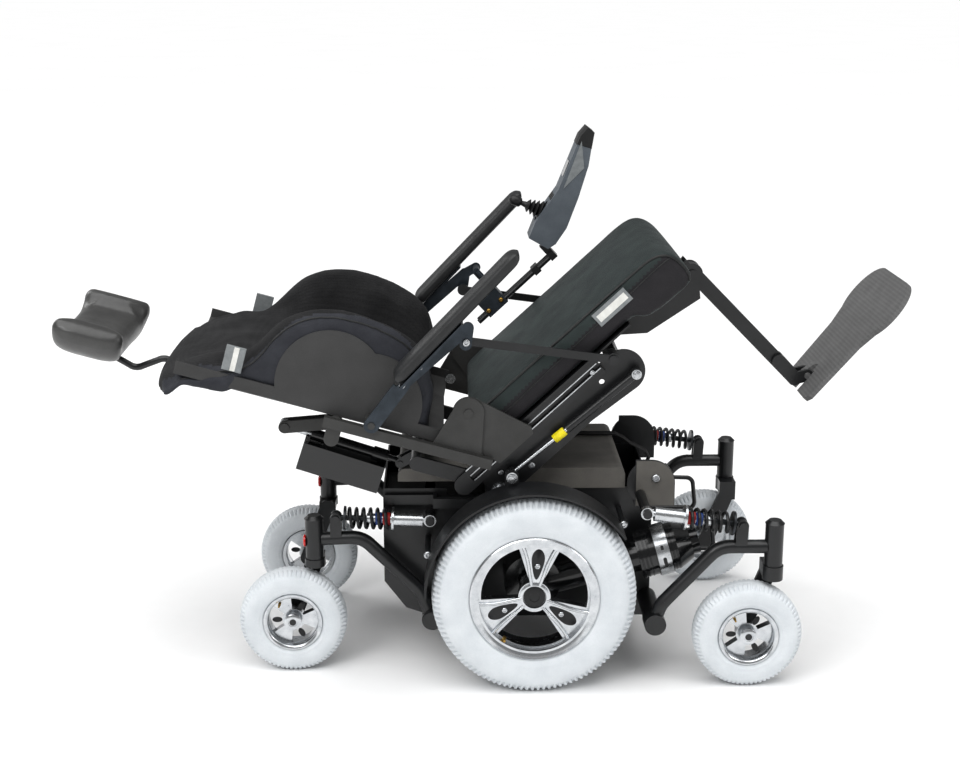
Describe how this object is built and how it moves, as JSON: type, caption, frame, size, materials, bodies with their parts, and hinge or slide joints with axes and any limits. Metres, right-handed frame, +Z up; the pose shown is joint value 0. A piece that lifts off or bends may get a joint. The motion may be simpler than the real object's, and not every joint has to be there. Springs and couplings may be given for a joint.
{
  "type": "power wheelchair",
  "caption": "Mid-wheel-drive power wheelchair, tilted back, with suspended casters, reclining contoured back, armrests, joystick, headrest and folding footplate.",
  "frame": {"origin": "centre of the bounding box in plan, on the floor", "axes": "+X towards the front of the chair, +Y towards the sitter's left, +Z up"},
  "size_m": [1.524, 0.58, 0.9396],
  "materials": {
    "frame_black": "semi-gloss black powder coat on steel tube",
    "battery_case": "moulded dark grey battery case",
    "deck_plastic": "grey-brown textured moulded cover",
    "fender_plastic": "satin black moulded fender",
    "motor_black": "gloss black enamel on a cast motor case",
    "cable_rubber": "matte black cable sleeve",
    "hip_plastic": "dark grey coated hip plate",
    "seat_fabric": "dark green-grey upholstery, slightly leathery",
    "steel_bright": "ground bright steel rod",
    "anodised_slate": "slate blue anodised aluminium",
    "shell_plastic": "matte charcoal moulded shell",
    "back_fabric": "black knitted spacer fabric",
    "headrest_fabric": "charcoal knitted cover over foam",
    "pad_foam": "self-skinned black foam, soft sheen",
    "joystick_grey": "blue-grey moulded housing",
    "control_black": "matte black moulded rubber",
    "footplate_rubber": "grey ribbed rubber over a plate",
    "tyre_grey": "light grey solid tyre",
    "rim_alloy": "polished cast aluminium",
    "shock_alloy": "bright anodised aluminium",
    "steel_dark": "dark plated steel",
    "spring_black": "gloss black coated spring wire"
  },
  "bodies": {
    "base": {"chassis_frame": "frame_black", "power_pack": "battery_case", "deck_cover": "deck_plastic", "fenders": "fender_plastic", "drive_motors": "motor_black", "seat_harness": "cable_rubber"},
    "arm_rear_right": {"arm_rear_right": "frame_black"},
    "fork_rear_right": {"fork_rear_right": "frame_black"},
    "caster_rear_right": {"caster_tyre_rear_right": "tyre_grey", "caster_rim_rear_right": "rim_alloy"},
    "shock_body_rear_right": {"shock_body_rear_right": "shock_alloy", "spring_rear_right": "spring_black"},
    "shock_rod_rear_right": {"shock_rod_rear_right": "steel_dark"},
    "arm_rear_left": {"arm_rear_left": "frame_black"},
    "fork_rear_left": {"fork_rear_left": "frame_black"},
    "caster_rear_left": {"caster_tyre_rear_left": "tyre_grey", "caster_rim_rear_left": "rim_alloy"},
    "shock_body_rear_left": {"shock_body_rear_left": "shock_alloy", "spring_rear_left": "spring_black"},
    "shock_rod_rear_left": {"shock_rod_rear_left": "steel_dark"},
    "arm_front_right": {"arm_front_right": "frame_black"},
    "fork_front_right": {"fork_front_right": "frame_black"},
    "caster_front_right": {"caster_tyre_front_right": "tyre_grey", "caster_rim_front_right": "rim_alloy"},
    "shock_body_front_right": {"shock_body_front_right": "shock_alloy", "spring_front_right": "spring_black"},
    "shock_rod_front_right": {"shock_rod_front_right": "steel_dark"},
    "arm_front_left": {"arm_front_left": "frame_black"},
    "fork_front_left": {"fork_front_left": "frame_black"},
    "caster_front_left": {"caster_tyre_front_left": "tyre_grey", "caster_rim_front_left": "rim_alloy"},
    "shock_body_front_left": {"shock_body_front_left": "shock_alloy", "spring_front_left": "spring_black"},
    "shock_rod_front_left": {"shock_rod_front_left": "steel_dark"},
    "drive_wheel_right": {"drive_tyre_right": "tyre_grey", "drive_rim_right": "rim_alloy"},
    "drive_wheel_left": {"drive_tyre_left": "tyre_grey", "drive_rim_left": "rim_alloy"},
    "tilt_carriage": {"tilt_carriage": "frame_black"},
    "seat": {"seat_frame": "frame_black", "hip_plates": "hip_plastic", "seat_cushion": "seat_fabric"},
    "gas_strut_cylinders": {"strut_cylinders": "frame_black"},
    "gas_strut_rods": {"strut_rods": "steel_bright"},
    "back": {"back_frame": "anodised_slate", "back_shell": "shell_plastic", "back_cushion": "back_fabric"},
    "headrest_stem": {"headrest_stem": "frame_black"},
    "headrest": {"headrest_pad": "headrest_fabric"},
    "recline_housing": {"recline_housing": "motor_black"},
    "recline_rod": {"recline_rod": "steel_bright"},
    "armrests": {"armrest_brackets": "anodised_slate", "armrest_pads": "pad_foam"},
    "armrest_links": {"armrest_links": "frame_black"},
    "joystick": {"joystick_mount": "frame_black", "joystick_pod": "joystick_grey"},
    "joystick_gimbal": {"joystick_gimbal": "control_black"},
    "joystick_stick": {"joystick_stick": "control_black"},
    "leg_support": {"leg_tube": "frame_black"},
    "footplate": {"footplate": "footplate_rubber"}
  },
  "joints": [
    {"name": "arm_rear_right_swing", "type": "hinge", "parent": "base", "child": "arm_rear_right", "pos_m": [-0.09302, -0.165, 0.095], "axis": [0, -1, 0], "range_deg": [-6, 6], "stiffness_Nm_per_rad": 5000},
    {"name": "fork_rear_right_swivel", "type": "hinge", "parent": "arm_rear_right", "child": "fork_rear_right", "pos_m": [-0.30201, -0.165, 0.197], "axis": [0, 0, 1], "continuous": true},
    {"name": "caster_rear_right_roll", "type": "hinge", "parent": "fork_rear_right", "child": "caster_rear_right", "pos_m": [-0.34302, -0.165, 0.096], "axis": [0, 1, 0], "continuous": true},
    {"name": "shock_rear_right_eye", "type": "hinge", "parent": "base", "child": "shock_body_rear_right", "pos_m": [-0.09602, -0.165, 0.281], "axis": [0, -1, 0], "range_deg": [-7.5, 7.5]},
    {"name": "shock_rear_right_stroke", "type": "slide", "parent": "shock_body_rear_right", "child": "shock_rod_rear_right", "axis": [-0.9994, 0, 0.0359], "range_m": [-0.022, 0.022], "deforming": ["spring_rear_right"]},
    {"name": "arm_rear_left_swing", "type": "hinge", "parent": "base", "child": "arm_rear_left", "pos_m": [-0.09302, 0.165, 0.095], "axis": [0, -1, 0], "range_deg": [-6, 6], "stiffness_Nm_per_rad": 5000},
    {"name": "fork_rear_left_swivel", "type": "hinge", "parent": "arm_rear_left", "child": "fork_rear_left", "pos_m": [-0.30201, 0.165, 0.197], "axis": [0, 0, 1], "continuous": true},
    {"name": "caster_rear_left_roll", "type": "hinge", "parent": "fork_rear_left", "child": "caster_rear_left", "pos_m": [-0.34302, 0.165, 0.096], "axis": [0, 1, 0], "continuous": true},
    {"name": "shock_rear_left_eye", "type": "hinge", "parent": "base", "child": "shock_body_rear_left", "pos_m": [-0.09602, 0.165, 0.281], "axis": [0, -1, 0], "range_deg": [-7.5, 7.5]},
    {"name": "shock_rear_left_stroke", "type": "slide", "parent": "shock_body_rear_left", "child": "shock_rod_rear_left", "axis": [-0.9994, 0, 0.0359], "range_m": [-0.022, 0.022], "deforming": ["spring_rear_left"]},
    {"name": "arm_front_right_swing", "type": "hinge", "parent": "base", "child": "arm_front_right", "pos_m": [0.29798, -0.244, 0.118], "axis": [0, -1, 0], "range_deg": [-6, 6], "stiffness_Nm_per_rad": 5000},
    {"name": "fork_front_right_swivel", "type": "hinge", "parent": "arm_front_right", "child": "fork_front_right", "pos_m": [0.50299, -0.244, 0.197], "axis": [0, 0, 1], "continuous": true},
    {"name": "caster_front_right_roll", "type": "hinge", "parent": "fork_front_right", "child": "caster_front_right", "pos_m": [0.46198, -0.244, 0.096], "axis": [0, 1, 0], "continuous": true},
    {"name": "shock_front_right_eye", "type": "hinge", "parent": "base", "child": "shock_body_front_right", "pos_m": [0.27998, -0.244, 0.32], "axis": [0, -1, 0], "range_deg": [-7.5, 7.5]},
    {"name": "shock_front_right_stroke", "type": "slide", "parent": "shock_body_front_right", "child": "shock_rod_front_right", "axis": [0.9913, 0, -0.1314], "range_m": [-0.022, 0.022], "deforming": ["spring_front_right"]},
    {"name": "arm_front_left_swing", "type": "hinge", "parent": "base", "child": "arm_front_left", "pos_m": [0.29798, 0.244, 0.118], "axis": [0, -1, 0], "range_deg": [-6, 6], "stiffness_Nm_per_rad": 5000},
    {"name": "fork_front_left_swivel", "type": "hinge", "parent": "arm_front_left", "child": "fork_front_left", "pos_m": [0.50299, 0.244, 0.197], "axis": [0, 0, 1], "continuous": true},
    {"name": "caster_front_left_roll", "type": "hinge", "parent": "fork_front_left", "child": "caster_front_left", "pos_m": [0.46198, 0.244, 0.096], "axis": [0, 1, 0], "continuous": true},
    {"name": "shock_front_left_eye", "type": "hinge", "parent": "base", "child": "shock_body_front_left", "pos_m": [0.27998, 0.244, 0.32], "axis": [0, -1, 0], "range_deg": [-7.5, 7.5]},
    {"name": "shock_front_left_stroke", "type": "slide", "parent": "shock_body_front_left", "child": "shock_rod_front_left", "axis": [0.9913, 0, -0.1314], "range_m": [-0.022, 0.022], "deforming": ["spring_front_left"]},
    {"name": "drive_wheel_right_roll", "type": "hinge", "parent": "base", "child": "drive_wheel_right", "pos_m": [0.08499, -0.252, 0.178], "axis": [0, 1, 0], "continuous": true},
    {"name": "drive_wheel_left_roll", "type": "hinge", "parent": "base", "child": "drive_wheel_left", "pos_m": [0.08499, 0.252, 0.178], "axis": [0, 1, 0], "continuous": true},
    {"name": "seat_tilt", "type": "hinge", "parent": "tilt_carriage", "child": "seat", "pos_m": [0.02783, 0, 0.34415], "axis": [0, -1, 0], "range_deg": [-43, 0]},
    {"name": "carriage_slide", "type": "slide", "parent": "base", "child": "tilt_carriage", "axis": [1, 0, 0], "range_m": [-0.0801, 0]},
    {"name": "gas_strut_pivot", "type": "hinge", "parent": "seat", "child": "gas_strut_cylinders", "pos_m": [0.25962, 0, 0.55893], "axis": [0, -1, 0], "range_deg": [-7.5, 0.5]},
    {"name": "gas_strut_stroke", "type": "slide", "parent": "gas_strut_cylinders", "child": "gas_strut_rods", "axis": [-0.7651, 0, -0.6439], "range_m": [-0.06, 0.001]},
    {"name": "back_recline", "type": "hinge", "parent": "seat", "child": "back", "pos_m": [-0.02776, 0, 0.49467], "axis": [0, -1, 0], "range_deg": [-26, 0]},
    {"name": "recline_housing_pivot", "type": "hinge", "parent": "seat", "child": "recline_housing", "pos_m": [-0.14863, -0.12, 0.37649], "axis": [0, -1, 0], "range_deg": [-33, 0.5]},
    {"name": "recline_stroke", "type": "slide", "parent": "recline_housing", "child": "recline_rod", "axis": [-0.9484, 0, 0.3172], "range_m": [-0.001, 0.077]},
    {"name": "armrest_pivot", "type": "hinge", "parent": "back", "child": "armrests", "pos_m": [-0.19289, 0, 0.47924], "axis": [0, -1, 0], "range_deg": [-0.5, 23]},
    {"name": "armrest_link_pivot", "type": "hinge", "parent": "seat", "child": "armrest_links", "pos_m": [0.21884, 0, 0.58653], "axis": [0, -1, 0], "range_deg": [-15.5, 0.5]},
    {"name": "joystick_reach", "type": "slide", "parent": "armrests", "child": "joystick", "axis": [0.7314, 0, 0.682], "range_m": [-0.02, 0.035]},
    {"name": "joystick_side", "type": "hinge", "parent": "joystick", "child": "joystick_gimbal", "pos_m": [0.12642, 0.193, 0.77591], "axis": [0.3633, 0, 0.9317], "range_deg": [-14, 14], "stiffness_Nm_per_rad": 0.6},
    {"name": "joystick_fore_aft", "type": "hinge", "parent": "joystick_gimbal", "child": "joystick_stick", "pos_m": [0.12642, 0.193, 0.77591], "axis": [0, -1, 0], "range_deg": [-14, 14], "stiffness_Nm_per_rad": 0.6},
    {"name": "headrest_height", "type": "slide", "parent": "back", "child": "headrest_stem", "axis": [-0.9636, 0, 0.2672], "range_m": [-0.02, 0.03]},
    {"name": "headrest_angle", "type": "hinge", "parent": "headrest_stem", "child": "headrest", "pos_m": [-0.70343, 0, 0.56168], "axis": [0, -1, 0], "range_deg": [-12, 12]},
    {"name": "leg_elevate", "type": "hinge", "parent": "seat", "child": "leg_support", "pos_m": [0.37972, 0, 0.69554], "axis": [0, -1, 0], "range_deg": [0, 60]},
    {"name": "footplate_flip", "type": "hinge", "parent": "leg_support", "child": "footplate", "pos_m": [0.59944, 0, 0.5039], "axis": [0, -1, 0], "range_deg": [0, 80]}
  ],
  "couplings": [
    {"joint": "shock_rear_right_eye", "follows": "arm_rear_right_swing", "ratio": 1.0628},
    {"joint": "shock_rear_right_stroke", "follows": "arm_rear_right_swing", "m_per_rad": 0.18551},
    {"joint": "shock_rear_left_eye", "follows": "arm_rear_left_swing", "ratio": 1.0628},
    {"joint": "shock_rear_left_stroke", "follows": "arm_rear_left_swing", "m_per_rad": 0.18551},
    {"joint": "shock_front_right_eye", "follows": "arm_front_right_swing", "ratio": 0.73742},
    {"joint": "shock_front_right_stroke", "follows": "arm_front_right_swing", "m_per_rad": -0.19779},
    {"joint": "shock_front_left_eye", "follows": "arm_front_left_swing", "ratio": 0.73742},
    {"joint": "shock_front_left_stroke", "follows": "arm_front_left_swing", "m_per_rad": -0.19779},
    {"joint": "carriage_slide", "follows": "seat_tilt", "m_per_rad": 0.1066},
    {"joint": "gas_strut_pivot", "follows": "seat_tilt", "ratio": 0.15638},
    {"joint": "gas_strut_stroke", "follows": "seat_tilt", "m_per_rad": 0.077212},
    {"joint": "recline_housing_pivot", "follows": "back_recline", "ratio": 1.142},
    {"joint": "recline_stroke", "follows": "back_recline", "m_per_rad": -0.16383},
    {"joint": "armrest_pivot", "follows": "back_recline", "ratio": -0.8536},
    {"joint": "armrest_link_pivot", "follows": "back_recline", "ratio": 0.5697}
  ]
}
